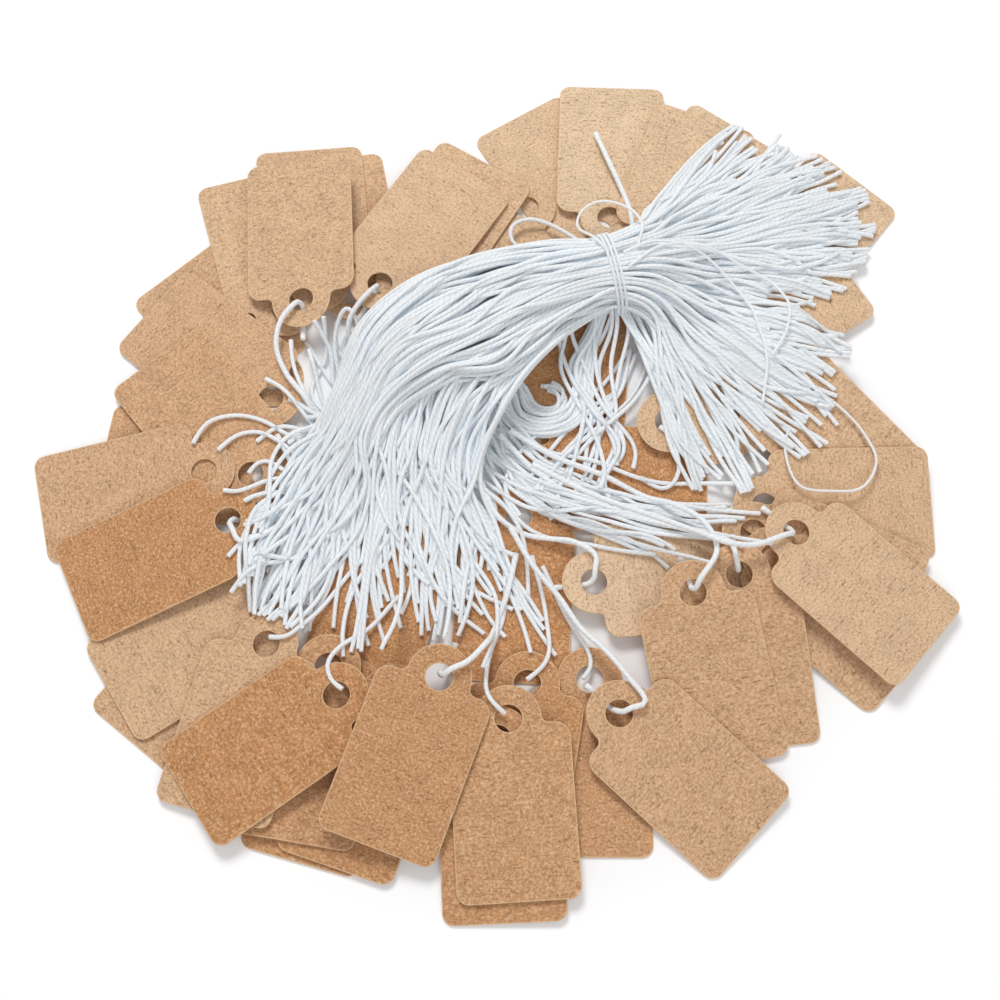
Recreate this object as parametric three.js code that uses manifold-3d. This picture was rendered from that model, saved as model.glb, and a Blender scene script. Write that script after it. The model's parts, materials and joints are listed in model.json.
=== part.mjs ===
// A pack of strung jewelry tags, laid in a ring on a table with the strings tied in a hank.
// Millimetres, +Z up. The origin is on the table, under the middle of the ring of tags.
import * as THREE from "three";
import { mergeVertices } from "three/addons/utils/BufferGeometryUtils.js";
import Module from "manifold-3d";

const wasm = await Module();
wasm.setup();

// The die-cut tag: a card with rounded corners and a round ear that has the string hole in it
const tag = {
  width: 22, // across the card
  length: 31, // from the foot edge to the shoulder line
  thickness: 0.45,
  footCorner: 2.2, // radius of the two outer corners
  shoulderCorner: 2.8, // radius of the two corners beside the ear
  earRadius: 6,
  earFillet: 1.3, // hollow between the ear and the shoulder
  holeDiameter: 5,
  holeBeyondShoulder: 1.1, // the hole and the ear share this centre
};

const stringDiameter = 1.05;
const threadDiameter = 0.5;
const stringStep = 2.4; // spacing of a string's points
const fanStep = 6; // the same for the strings of a fan
const legBeyondEar = 2; // how far the lower leg of a string shows past the ear
const fanRoot = 2.4; // thickness of the root that the strings of a fan are joined in
const restGap = 0.3; // clearance between a piece and what it lies on
const steepest = 0.4; // largest slope that a tag may lie at
const gridStep = 1; // spacing of the points where the height of the pile is kept
const gridReach = 112; // the grid covers this far each way from the middle

const kraft = new THREE.Color(0.74, 0.56, 0.38);
const cotton = new THREE.Color(0.88, 0.92, 0.94);

// How the tags lie, from the table upwards: x and y of the hole's centre and the turn of the tag,
// in degrees anticlockwise from one whose ear points away from the viewer.
const layout = [
  ["tag_middle_1", 13.5, 14, 180],
  ["tag_middle_2", 8, 5, 90],
  ["tag_middle_3", 3.5, -4, 0],
  ["tag_middle_4", -17.5, -2, -12],
  ["tag_front_left_1", -27.5, -37.5, -12],
  ["tag_front_left_2", -19.5, -39, -15],
  ["tag_low_left_1", -47, -22, -35],
  ["tag_low_left_2", -44.5, -21, -54],
  ["tag_front_left_3", -31.5, -33.5, -6],
  ["tag_low_left_3", -43, -29.5, -12],
  ["tag_left_1", -45.5, 5, -94],
  ["tag_high_left_1", -45, 25.5, -135],
  ["tag_high_left_2", -43.5, 40.5, -160],
  ["tag_high_left_3", -45, 20.5, -125],
  ["tag_high_left_4", -48, 4.5, -137],
  ["tag_back_left_1", -30, 44, -166],
  ["tag_back_left_2", -36.5, 45.5, -170],
  ["tag_back_1", 20.5, 59, -145],
  ["tag_back_2", 5.5, 64, -45],
  ["tag_back_left_4", -19, 46, 153],
  ["tag_back_left_5", -24, 44, 151],
  ["tag_back_left_3", -39.5, 40.5, -173],
  ["tag_back_3", 31.5, 57.5, 148],
  ["tag_back_4", 22.5, 61, -179],
  ["tag_back_5", 33, 55, 164],
  ["tag_back_right_1", 53.5, 46, 143],
  ["tag_back_right_2", 43, 31.5, 126],
  ["tag_right_1", 32.5, 15, 113],
  ["tag_right_2", 52.5, 24, 47],
  ["tag_front_right_1", 17.5, -17.5, 100],
  ["tag_right_3", 50.5, -2, 95],
  ["tag_right_4", 48, -7.5, 68],
  ["tag_right_5", 51.5, -12.5, 51],
  ["tag_front_right_2", 16.5, -35.5, 3],
  ["tag_front_1", 5, -36.5, -6],
  ["tag_front_2", -0.5, -47, 6],
  ["tag_left_2", -57, 5, -73],
  ["tag_left_3", -51.5, -5.5, -61],
  ["tag_front_right_3", 44.5, -16.5, 9],
  ["tag_front_right_4", 35.5, -20.5, 15],
  ["tag_right_6", 55.5, -8.5, 51],
  ["tag_front_3", 1.5, -43.5, 7],
  ["tag_front_left_4", -29.5, -39.5, -52],
  ["tag_front_left_5", -11, -36.5, -17],
  ["tag_front_right_5", 21.5, -42.5, 51],
];

// The strings that show: where each runs over the pile, from the hank to the hole of its tag
const stringRoutes = {
  tag_back_left_3: [[-35, 16], [-38, 20], [-42, 25], [-44, 30], [-43, 36]],
  tag_back_left_5: [[-28, 29], [-30, 34], [-28, 39]],
  tag_front_right_1: [[5, -8], [9, -9], [14, -10], [18, -13]],
  tag_left_3: [[-37, -3], [-41, -6], [-45, -9], [-49, -10]],
  tag_front_right_3: [[18, -2], [24, -4.5], [32, -6.5], [38, -9], [43, -11]],
  tag_front_right_4: [[28, 0], [33, -3], [38, -7], [40, -13]],
  tag_right_6: [[37, -10], [42, -12], [47, -12], [52, -10]],
  tag_front_left_5: [[-1, -26], [-3, -31], [-6, -34]],
  tag_front_right_5: [[11, -21], [15, -27], [19, -31], [23, -36], [26, -41]],
};

// The hank of gathered strings, from its end beside the tie to where it spreads out: x, y, half
// the width and half the height
const hank = {
  rings: [
    [30, 46, 8.5, 6],
    [22, 44.5, 8, 6.2],
    [12, 42, 10, 6.2],
    [2, 37, 13, 5.8],
    [-7, 30, 16, 5.2],
    [-14, 22, 17.5, 4.4],
    [-18, 13, 17, 3.4],
  ],
  ridges: 22, // the strings that show round it
  ridgeDepth: 0.05, // of its half width
  clearance: 1.2, // room under it for the tie
  tieAt: [22, 44.5],
  tieTurns: 2.5,
};

// The two fans that the hank ends in: where the tips of the strings lie
const cutEnds = {
  tips: [[49, 80], [66, 74], [75, 58], [68, 42], [66, 28], [63, 14], [51, 3], [39, -1]],
  columns: 12,
  layers: 3,
};
const looseLoops = {
  tips: [[9, -27], [0, -33], [-12, -29], [-22, -29], [-31, -26], [-38, -19], [-37, -8], [-36, 2]],
  columns: 13,
  layers: 2,
};
const looseEnd = [[27, 56], [26.5, 61], [25, 67], [22.5, 73], [20, 81]];
const threadLoop = [[56, 13], [55, 11], [55, 6], [57, 1], [63, 0], [69, 1], [72, 6], [70, 12], [65, 18]];

// Height of the pile, kept as its top at each point of a grid. The bare table counts as one gap
// below zero, so that a tag that lies on it touches it.
const gridCount = Math.round((2 * gridReach) / gridStep) + 1;
const pileTop = new Float32Array(gridCount * gridCount).fill(-restGap);

// Calls visit(x, y, index) for each grid point inside a box.
function overGrid(lowX, lowY, highX, highY, visit) {
  const first = (v) => Math.max(0, Math.ceil((v + gridReach) / gridStep));
  const last = (v) => Math.min(gridCount - 1, Math.floor((v + gridReach) / gridStep));
  for (let j = first(lowY); j <= last(highY); j++)
    for (let i = first(lowX); i <= last(highX); i++)
      visit(i * gridStep - gridReach, j * gridStep - gridReach, j * gridCount + i);
}

// Highest point of the pile within a distance of (x, y).
function topNear(x, y, reach) {
  let top = -restGap;
  overGrid(x - reach, y - reach, x + reach, y + reach, (gx, gy, index) => {
    if (Math.hypot(gx - x, gy - y) <= reach) top = Math.max(top, pileTop[index]);
  });
  return top;
}

function raisePile(x, y, reach, height) {
  overGrid(x - reach, y - reach, x + reach, y + reach, (gx, gy, index) => {
    if (Math.hypot(gx - x, gy - y) <= reach) pileTop[index] = Math.max(pileTop[index], height);
  });
}

// Points of an arc, ends included.
function arc(x, y, radius, fromDegrees, toDegrees, steps) {
  return Array.from({ length: steps + 1 }, (_, k) => {
    const angle = THREE.MathUtils.degToRad(fromDegrees + ((toDegrees - fromDegrees) * k) / steps);
    return new THREE.Vector2(x + radius * Math.cos(angle), y + radius * Math.sin(angle));
  });
}

// The flat tag, with its hole at the origin, its ear towards +Y and its underside at z = 0.
function tagGeometry() {
  const half = tag.width / 2;
  const shoulder = -tag.holeBeyondShoulder;
  const foot = shoulder - tag.length;
  // the fillet's centre is one fillet radius above the shoulder and touches the ear from outside
  const filletY = shoulder + tag.earFillet;
  const filletX = Math.sqrt((tag.earRadius + tag.earFillet) ** 2 - filletY ** 2);
  const meet = THREE.MathUtils.radToDeg(Math.atan2(filletY, filletX));
  const right = [
    ...arc(half - tag.footCorner, foot + tag.footCorner, tag.footCorner, -90, 0, 3),
    ...arc(half - tag.shoulderCorner, shoulder - tag.shoulderCorner, tag.shoulderCorner, 0, 90, 3),
    ...arc(filletX, filletY, tag.earFillet, 270, 180 + meet, 2),
  ];
  const left = right.map((p) => new THREE.Vector2(-p.x, p.y)).reverse();
  const ear = arc(0, 0, tag.earRadius, meet, 180 - meet, 10).slice(1, -1);
  const shape = new THREE.Shape([...right, ...ear, ...left]);
  shape.holes.push(new THREE.Path(arc(0, 0, tag.holeDiameter / 2, 360, 0, 12).slice(1)));
  return new THREE.ExtrudeGeometry(shape, { depth: tag.thickness, bevelEnabled: false });
}

// Where a function with one valley is least, between two limits.
function valley(f, low, high) {
  const golden = (Math.sqrt(5) - 1) / 2;
  let a = low;
  let b = high;
  for (let k = 0; k < 26; k++) {
    const c = b - golden * (b - a);
    const d = a + golden * (b - a);
    if (f(c) < f(d)) b = d;
    else a = c;
  }
  return (a + b) / 2;
}

// Whether a tag whose hole is at (x, y) reaches a point, or comes within a margin of it.
function coversPoint(x, y, ear, px, py, margin) {
  const along = (px - x) * ear.x + (py - y) * ear.y;
  const across = (px - x) * ear.y - (py - y) * ear.x;
  const shoulder = -tag.holeBeyondShoulder;
  const inBody =
    Math.abs(across) <= tag.width / 2 + margin &&
    along <= shoulder + margin &&
    along >= shoulder - tag.length - margin;
  return inBody || Math.hypot(along, across) <= tag.earRadius + margin;
}

// The plane that a tag comes to rest on: above the pile wherever the tag is, and with the tag's
// middle as low as it can be, as it is on a real one.
function restingPlane(x, y, turn) {
  const ear = new THREE.Vector2(-Math.sin(turn), Math.cos(turn));
  const middle = tag.holeBeyondShoulder + tag.length / 2;
  const centre = new THREE.Vector2(x - ear.x * middle, y - ear.y * middle);
  const reach = Math.hypot(tag.width, tag.length) / 2 + 2 * tag.earRadius;
  const under = [];
  overGrid(centre.x - reach, centre.y - reach, centre.x + reach, centre.y + reach, (gx, gy, index) => {
    if (coversPoint(x, y, ear, gx, gy, gridStep))
      under.push([gx - centre.x, gy - centre.y, pileTop[index] + restGap, index]);
  });
  const height = (a, b) => under.reduce((most, p) => Math.max(most, p[2] - a * p[0] - b * p[1]), -1e9);
  const bestB = (a) => valley((b) => height(a, b), -steepest, steepest);
  const a = valley((s) => height(s, bestB(s)), -steepest, steepest);
  const b = bestB(a);
  return { a, b, z: height(a, b), centre, ear, under };
}

// Lays one tag on the pile and raises the pile by it.
function layTag(geometry, material, name, x, y, turnDegrees) {
  const plane = restingPlane(x, y, THREE.MathUtils.degToRad(turnDegrees));
  const at = (px, py) => plane.z + plane.a * (px - plane.centre.x) + plane.b * (py - plane.centre.y);
  const up = new THREE.Vector3(-plane.a, -plane.b, 1).normalize();
  const slope = plane.a * plane.ear.x + plane.b * plane.ear.y;
  const ahead = new THREE.Vector3(plane.ear.x, plane.ear.y, slope).normalize();
  const side = new THREE.Vector3().crossVectors(ahead, up);
  const mesh = new THREE.Mesh(geometry, material);
  mesh.name = name;
  mesh.quaternion.setFromRotationMatrix(new THREE.Matrix4().makeBasis(side, ahead, up));
  mesh.position.set(x, y, at(x, y));
  for (const [dx, dy, , index] of plane.under)
    pileTop[index] = at(plane.centre.x + dx, plane.centre.y + dy) + tag.thickness / up.z;
  return mesh;
}

// A route over the pile at even steps: each point clears all that is as near as the next point
// is, and the cord hangs straight over the hollows.
function drape(route, radius, spacing) {
  const line = new THREE.CatmullRomCurve3(route.map(([x, y]) => new THREE.Vector3(x, y, 0)));
  const row = line.getSpacedPoints(Math.max(2, Math.round(line.getLength() / spacing)));
  const step = row[0].distanceTo(row[1]);
  const need = row.map((p) => topNear(p.x, p.y, step + radius) + restGap + radius);
  row.forEach((p, k) => p.setZ(need[k]));
  for (let pass = 0; pass < 6; pass++)
    for (let k = 1; k + 1 < row.length; k++)
      row[k].setZ(Math.max(need[k], (row[k - 1].z + row[k + 1].z) / 2));
  return row;
}

function stampCord(points, radius) {
  const line = new THREE.CatmullRomCurve3(points);
  for (const p of line.getSpacedPoints(Math.ceil(line.getLength() / gridStep)))
    raisePile(p.x, p.y, radius + gridStep / 2, p.z + radius);
}

function cordGeometry(points, diameter, sides = 6) {
  const path = new THREE.CatmullRomCurve3(points);
  path.getUtoTmapping = (u) => u; // one step from each given point to the next, near or far
  const section = new THREE.Shape(arc(0, 0, diameter / 2, 0, 360, sides).slice(1));
  return new THREE.ExtrudeGeometry(section, { steps: points.length - 1, extrudePath: path });
}

// A tag with its string: one leg of the string is under the ear, the other comes over the pile
// from the hank, and the two meet in the hole.
function layStrungTag(geometry, card, cord, name, x, y, turnDegrees) {
  const turn = THREE.MathUtils.degToRad(turnDegrees);
  const ear = new THREE.Vector2(-Math.sin(turn), Math.cos(turn));
  const radius = stringDiameter / 2;
  const insideHole = tag.holeDiameter / 2 - radius;
  const legRoute = [tag.earRadius + legBeyondEar, insideHole].map((s) => [x + ear.x * s, y + ear.y * s]);
  const lowerLeg = drape(legRoute, radius, stringStep);
  stampCord(lowerLeg, radius);
  const mesh = layTag(geometry, card, name, x, y, turnDegrees);
  const route = stringRoutes[name];
  const from = new THREE.Vector2(...route[route.length - 1]).sub(new THREE.Vector2(x, y)).normalize();
  const rim = [x + from.x * insideHole, y + from.y * insideHole];
  const upperLeg = drape([...route, rim], radius, stringStep).reverse();
  stampCord(upperLeg, radius);
  // the bend goes through the hole's middle, a little to the side that the legs come from
  const up = new THREE.Vector3(0, 0, 1).applyQuaternion(mesh.quaternion);
  const inHole = (part, level) =>
    mesh.position
      .clone()
      .addScaledVector(up, tag.thickness / 2)
      .add(new THREE.Vector3(part.x, part.y, 0).multiplyScalar(0.45 * insideHole))
      .addScaledVector(up, level * radius);
  const points = [...lowerLeg, inHole(ear, -1), inHole(from, 1), ...upperLeg];
  return [mesh, named(name.replace("tag", "string"), cordGeometry(points, stringDiameter), cord)];
}

// One closed skin over a row of rings that have as many points each.
function skin(rings) {
  const count = rings[0].length;
  const points = rings.flat();
  const faces = [];
  for (let r = 0; r + 1 < rings.length; r++)
    for (let k = 0; k < count; k++) {
      const a = r * count + k;
      const b = r * count + ((k + 1) % count);
      faces.push(a, b, b + count, a, b + count, a + count);
    }
  for (const r of [0, rings.length - 1]) {
    const middle = rings[r].reduce((sum, p) => sum.add(p), new THREE.Vector3());
    const centre = points.push(middle.divideScalar(count)) - 1;
    for (let k = 0; k < count; k++) {
      const edge = [r * count + k, r * count + ((k + 1) % count)];
      faces.push(centre, ...(r ? edge : edge.reverse()));
    }
  }
  const geometry = new THREE.BufferGeometry().setFromPoints(points);
  geometry.setIndex(faces);
  geometry.computeVertexNormals();
  return geometry;
}

// A ridged oval across a heading.
function hankRing(x, y, z, heading, halfWidth, halfHeight) {
  const side = new THREE.Vector3(-heading.y, heading.x, 0);
  const count = 2 * hank.ridges;
  return Array.from({ length: count }, (_, k) => {
    const angle = (2 * Math.PI * k) / count;
    const swell = 1 + (k % 2 ? -1 : 1) * hank.ridgeDepth;
    return new THREE.Vector3(x, y, z + halfHeight * swell * Math.sin(angle)).addScaledVector(
      side,
      halfWidth * swell * Math.cos(angle),
    );
  });
}

// Centre, heading and size of the hank at each of its rings, as it lies on the pile.
function hankCourse() {
  return hank.rings.map(([x, y, halfWidth, halfHeight], k) => {
    const before = hank.rings[Math.max(0, k - 1)];
    const after = hank.rings[Math.min(hank.rings.length - 1, k + 1)];
    const heading = new THREE.Vector3(after[0] - before[0], after[1] - before[1], 0).normalize();
    const bottom = topNear(x, y, halfWidth) + hank.clearance;
    return { x, y, z: bottom + halfHeight * (1 + hank.ridgeDepth), heading, halfWidth, halfHeight };
  });
}

function solidOf(geometry) {
  const bare = new THREE.BufferGeometry();
  const flat = geometry.index ? geometry.toNonIndexed() : geometry;
  bare.setAttribute("position", flat.getAttribute("position"));
  const merged = mergeVertices(bare, 1e-3);
  const vertProperties = merged.attributes.position.array;
  const triVerts = new Uint32Array(merged.index.array);
  return new wasm.Manifold(new wasm.Mesh({ numProp: 3, vertProperties, triVerts }));
}

function geometryOf(solid) {
  const mesh = solid.getMesh();
  const geometry = new THREE.BufferGeometry();
  geometry.setAttribute("position", new THREE.BufferAttribute(mesh.vertProperties, 3));
  geometry.setIndex(new THREE.BufferAttribute(mesh.triVerts, 1));
  geometry.computeVertexNormals();
  return geometry;
}

// Strings that leave an end of the hank side by side and in layers, and spread to their tips.
// The tips are listed from the left of the heading to its right.
function fanGeometry(end, heading, spread) {
  const side = new THREE.Vector3(-heading.y, heading.x, 0);
  const radius = stringDiameter / 2;
  const root = new THREE.Vector3(end.x, end.y, end.z).addScaledVector(heading, restGap);
  const plate = [0, fanRoot].map((along) => {
    const p = root.clone().addScaledVector(heading, along);
    return hankRing(p.x, p.y, p.z, heading, end.halfWidth, end.halfHeight);
  });
  const tipLine = new THREE.CatmullRomCurve3(spread.tips.map(([x, y]) => new THREE.Vector3(x, y, 0)));
  const parts = [solidOf(skin(plate))];
  for (let layer = 0; layer < spread.layers; layer++)
    for (let column = 0; column < spread.columns; column++) {
      const u = (column + 0.5 + 0.25 * (layer % 2)) / (spread.columns + 0.25);
      const level = (2 * layer + 1) / spread.layers - 1;
      const start = root.clone().addScaledVector(heading, fanRoot / 2);
      start.addScaledVector(side, (1 - 2 * u) * 0.9 * end.halfWidth * Math.sqrt(1 - 0.8 * level ** 2));
      start.z += 0.8 * level * end.halfHeight * Math.sqrt(1 - 0.8 * (1 - 2 * u) ** 2);
      const shorter = 0.84 + 0.16 * (((5 * column + 3 * layer) % 7) / 6);
      const tip = tipLine.getPointAt(u).sub(new THREE.Vector3(start.x, start.y, 0));
      tip.multiplyScalar(shorter).add(new THREE.Vector3(start.x, start.y, 0));
      const row = drape([[start.x, start.y], [tip.x, tip.y]], radius, fanStep);
      const points = row.map((p, k) => {
        const free = start.z * (1 - k / (row.length - 1)) ** 1.6;
        return p.setZ(k ? Math.max(p.z + 1.5 * layer, free) : start.z);
      });
      parts.push(solidOf(cordGeometry(points, stringDiameter, 4)));
    }
  return geometryOf(wasm.Manifold.union(parts));
}

// The thread that ties the hank: turns round it that climb a little, with both ends free.
function tieGeometry(course) {
  const [x, y] = hank.tieAt;
  const place = course.find((ring) => ring.x === x && ring.y === y);
  const side = new THREE.Vector3(-place.heading.y, place.heading.x, 0);
  const off = restGap + threadDiameter / 2;
  const swell = 1 + hank.ridgeDepth;
  const perTurn = 18;
  const count = Math.round(perTurn * hank.tieTurns);
  const points = Array.from({ length: count + 1 }, (_, k) => {
    const angle = (2 * Math.PI * k) / perTurn;
    const along = ((k - count / 2) / perTurn) * (threadDiameter + restGap);
    return new THREE.Vector3(place.x, place.y, place.z)
      .addScaledVector(place.heading, along)
      .addScaledVector(side, (place.halfWidth * swell + off) * 1.03 * Math.cos(angle))
      .setZ(place.z + (place.halfHeight * swell + off) * 1.03 * Math.sin(angle));
  });
  const path = new THREE.CatmullRomCurve3(points);
  const section = new THREE.Shape(arc(0, 0, threadDiameter / 2, 0, 360, 5).slice(1));
  return new THREE.ExtrudeGeometry(section, { steps: count, extrudePath: path });
}

function named(name, geometry, material) {
  const mesh = new THREE.Mesh(geometry, material);
  mesh.name = name;
  return mesh;
}

const pack = new THREE.Group();
const card = new THREE.MeshStandardMaterial({ color: kraft, roughness: 0.9, metalness: 0 });
const cord = new THREE.MeshStandardMaterial({ color: cotton, roughness: 0.8, metalness: 0 });
const flatTag = tagGeometry();
for (const [name, x, y, turn] of layout) {
  if (stringRoutes[name]) pack.add(...layStrungTag(flatTag, card, cord, name, x, y, turn));
  else pack.add(layTag(flatTag, card, name, x, y, turn));
}
const tagBox = new THREE.Box3();
for (const mesh of pack.children)
  if (mesh.material === card) tagBox.expandByObject(mesh, true);

const course = hankCourse();
const rings = course.map((c) => hankRing(c.x, c.y, c.z, c.heading, c.halfWidth, c.halfHeight));
const tiedEnd = course[0];
const spreadEnd = course[course.length - 1];
const endLine = drape(looseEnd, stringDiameter / 2, stringStep);
const loopLine = drape(threadLoop, threadDiameter / 2, stringStep);
pack.add(
  named("hank", skin(rings), cord),
  named("hank_tie", tieGeometry(course), cord),
  named("hank_cut_ends", fanGeometry(tiedEnd, tiedEnd.heading.clone().negate(), cutEnds), cord),
  named("hank_loops", fanGeometry(spreadEnd, spreadEnd.heading, looseLoops), cord),
  named("loose_end", cordGeometry(endLine, stringDiameter), cord),
  named("thread_loop", cordGeometry(loopLine, threadDiameter), cord),
);

// the origin goes to the middle of the foot of the ring of tags
const middle = tagBox.getCenter(new THREE.Vector3());
middle.z = tagBox.min.z;
for (const mesh of pack.children) mesh.position.sub(middle);

export default pack;
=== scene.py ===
# Kraft jewelry tags on white strings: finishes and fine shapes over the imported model.
# Places are worked out in millimetres and become metres when a mesh is made.
import json
import math

import bpy
import numpy as np
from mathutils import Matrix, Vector
from mathutils.geometry import delaunay_2d_cdt


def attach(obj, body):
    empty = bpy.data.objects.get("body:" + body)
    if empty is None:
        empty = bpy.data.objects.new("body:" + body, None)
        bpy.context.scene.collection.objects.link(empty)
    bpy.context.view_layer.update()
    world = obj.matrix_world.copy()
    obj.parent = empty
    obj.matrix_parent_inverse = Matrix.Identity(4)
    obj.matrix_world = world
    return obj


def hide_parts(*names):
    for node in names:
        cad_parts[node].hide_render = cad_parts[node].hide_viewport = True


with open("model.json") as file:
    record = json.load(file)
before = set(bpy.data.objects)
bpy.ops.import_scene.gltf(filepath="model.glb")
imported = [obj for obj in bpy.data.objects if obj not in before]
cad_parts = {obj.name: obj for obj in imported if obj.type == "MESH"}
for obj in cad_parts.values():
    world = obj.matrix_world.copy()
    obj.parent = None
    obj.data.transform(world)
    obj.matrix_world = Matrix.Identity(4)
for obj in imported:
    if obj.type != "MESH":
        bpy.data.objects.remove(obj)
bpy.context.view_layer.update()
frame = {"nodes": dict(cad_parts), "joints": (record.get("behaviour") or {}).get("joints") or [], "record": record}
nodes = frame["nodes"]
mm = 0.001
print("frame loaded,", len(nodes), "solids")

# the camera, at the height and distance that the photo was taken from
viewpoint = {"aim": (1.94, -6.75), "height": 272, "elevation": 70, "lens": 54, "sensor": 36}


def placeCamera():
    back = viewpoint["height"] / math.tan(math.radians(viewpoint["elevation"]))
    camera = bpy.data.objects.new("camera", bpy.data.cameras.new("camera"))
    camera.data.lens = viewpoint["lens"]
    camera.data.sensor_width = viewpoint["sensor"]
    camera.data.clip_start = 0.01
    aimX, aimY = viewpoint["aim"]
    camera.location = Vector((aimX, aimY - back, viewpoint["height"])) * mm
    camera.rotation_euler = (math.radians(90 - viewpoint["elevation"]), 0, 0)
    bpy.context.scene.collection.objects.link(camera)
    bpy.context.scene.camera = camera


placeCamera()

# where each tag lies, read from its solid and its swing joint
tagSize = {
    "width": 22,
    "length": 31,
    "thickness": 0.45,
    "footCorner": 2.2,
    "shoulderCorner": 2.8,
    "earRadius": 6,
    "earFillet": 1.3,
    "holeRadius": 2.5,
    "holeBeyondShoulder": 1.1,
    "edgeRound": 0.07,  # soft edge that the die leaves
    "highlightRimWidth": 0.28,  # painted highlight: a paler line just inside the cut edge
    "edgeStep": 2.2,  # longest stretch of an edge without a point
    "cell": 1.6,  # spacing of the points inside the outline
    "bare": 0.9,  # strip along the edges that has none of them
    "middle": 16,  # from the hole to the middle of the body
    "halfLength": 18,
    "warp": 0.1,  # how far a card bends out of flat
}


def solidPoints(node):
    mesh = nodes[node].data
    points = np.empty(len(mesh.vertices) * 3)
    mesh.vertices.foreach_get("co", points)
    return points.reshape(-1, 3) * 1000


def seatOf(joint):
    points = solidPoints(joint["child"])
    up = np.array(joint["axis"], float)
    swings = np.sign(up[2]) * np.array(joint["range_deg"], float)
    up *= np.sign(up[2])
    hole = np.array(joint["pos_m"]) * 1000
    ear = hole - points.mean(0)
    ear -= up * (ear @ up)
    ear /= np.linalg.norm(ear)
    base = hole + up * ((points - hole) @ up).min()
    return {"base": base, "side": np.cross(ear, up), "ear": ear, "up": up, "swings": swings}


def swung(seat, angle):
    # the same card, turned about its hole
    side, ear = seat["side"], seat["ear"]
    cosine, sine = math.cos(angle), math.sin(angle)
    return {**seat, "side": side * cosine + ear * sine, "ear": ear * cosine - side * sine}


seats = {j["child"]: seatOf(j) for j in frame["joints"] if j["name"].startswith("swing_")}
# routes are written on the sheet that the tags were laid out on, and tag_middle_1 has its hole here on it
sheetHole = np.array([13.5, 14.0])
shift = seats["tag_middle_1"]["base"][:2] - sheetHole

# height of the cards at each point of a grid, because the strings lie on them
grid = {
    "step": 0.5,
    "reach": 115,
    "margin": 0.3,  # cards count as this much larger
    "swingSteps": 9,  # places at which a swinging card is looked at
}
gridLine = np.arange(-grid["reach"], grid["reach"] + grid["step"], grid["step"])
gridX, gridY = np.meshgrid(gridLine, gridLine)


def planeOver(seat, x, y):
    base, up = seat["base"], seat["up"]
    z = base[2] - ((x - base[0]) * up[0] + (y - base[1]) * up[1]) / up[2]
    offset = np.stack([x - base[0], y - base[1], z - base[2]], -1)
    return z + tagSize["thickness"] / up[2], offset @ seat["side"], offset @ seat["ear"]


def cardTops(places):
    tops = np.zeros_like(gridX)
    shoulder, margin = -tagSize["holeBeyondShoulder"], grid["margin"]
    for seat in places:
        z, across, along = planeOver(seat, gridX, gridY)
        body = (abs(across) < tagSize["width"] / 2 + margin) & (along < shoulder + margin)
        body &= along > shoulder - tagSize["length"] - margin
        covered = body | (np.hypot(across, along) < tagSize["earRadius"] + margin)
        tops = np.where(covered, np.maximum(tops, z), tops)
    return tops


def sweep(seat):
    return [swung(seat, angle) for angle in np.radians(np.linspace(*seat["swings"], grid["swingSteps"]))]


tops = cardTops(seats.values())
# strings come to rest clear of all that a card sweeps over as it swings
sweptTops = cardTops([place for seat in seats.values() for place in sweep(seat)])


def topAt(x, y, tops=tops):
    # the highest of the four grid points round the place
    steps = [(np.asarray(c) + grid["reach"]) / grid["step"] for c in (x, y)]
    i, j = (np.clip(s, 0, len(gridLine) - 1.001).astype(int) for s in steps)
    return np.maximum.reduce([tops[j + dj, i + di] for dj in (0, 1) for di in (0, 1)])


# strings as rows of points
string = {
    "diameter": 1.05,
    "inPile": 0.86,
    "thread": 0.55,
    "spacing": 1.0,
    "threadSpacing": 0.7,
    "clear": 1.15,  # height of its middle over a card, in radii
    "frayed": 1.12,  # thickness of a cut end
    "seed": 11,
}
dice = np.random.default_rng(string["seed"])


def runAlong(points):
    return np.concatenate([[0], np.cumsum(np.linalg.norm(np.diff(points, axis=0), axis=1))])


def evenPoints(points, spacing=string["spacing"]):
    # a smooth line through the points, at even steps
    points = np.asarray(points, float)
    chord = runAlong(points)
    slope = np.gradient(points, chord, axis=0)
    t = np.linspace(0, chord[-1], max(8, int(chord[-1] / spacing * 6)))
    k = np.clip(np.searchsorted(chord, t, side="right") - 1, 0, len(chord) - 2)
    h = (chord[k + 1] - chord[k])[:, None]
    s = ((t - chord[k])[:, None]) / h
    fine = (
        (2 * s**3 - 3 * s**2 + 1) * points[k]
        + (s**3 - 2 * s**2 + s) * h * slope[k]
        + (3 * s**2 - 2 * s**3) * points[k + 1]
        + (s**3 - s**2) * h * slope[k + 1]
    )
    run = runAlong(fine)
    even = np.linspace(0, run[-1], max(3, int(round(run[-1] / spacing)) + 1))
    return np.stack([np.interp(even, run, fine[:, c]) for c in range(3)], -1)


def lengthOf(points):
    return float(np.linalg.norm(np.diff(points, axis=0), axis=1).sum())


def onSheet(points):
    return np.asarray(points, float) + shift


# the strings that have a solid: route over the pile from the hank to the tag's hole
earStrings = {
    "tag_back_left_3": [[-35, 16], [-38, 20], [-42, 25], [-44, 30], [-43, 36]],
    "tag_back_left_5": [[-28, 29], [-30, 35]],
    "tag_front_right_1": [[5, -8], [9, -9], [14, -10], [18, -13]],
    "tag_left_3": [[-37, -3], [-41, -6], [-45, -9], [-49, -10]],
    "tag_front_right_3": [[18, -2], [24, -4.5], [32, -6.5], [38, -9], [43, -11]],
    "tag_front_right_4": [[28, 0], [33, -3], [38, -7], [40, -13]],
    "tag_right_6": [[37, -10], [42, -12], [47, -12], [52, -10]],
    "tag_front_left_5": [[-1, -26], [-3, -31], [-6, -34]],
    "tag_front_right_5": [[11, -21], [15, -27], [19, -31], [23, -36], [26, -41]],
}
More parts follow.
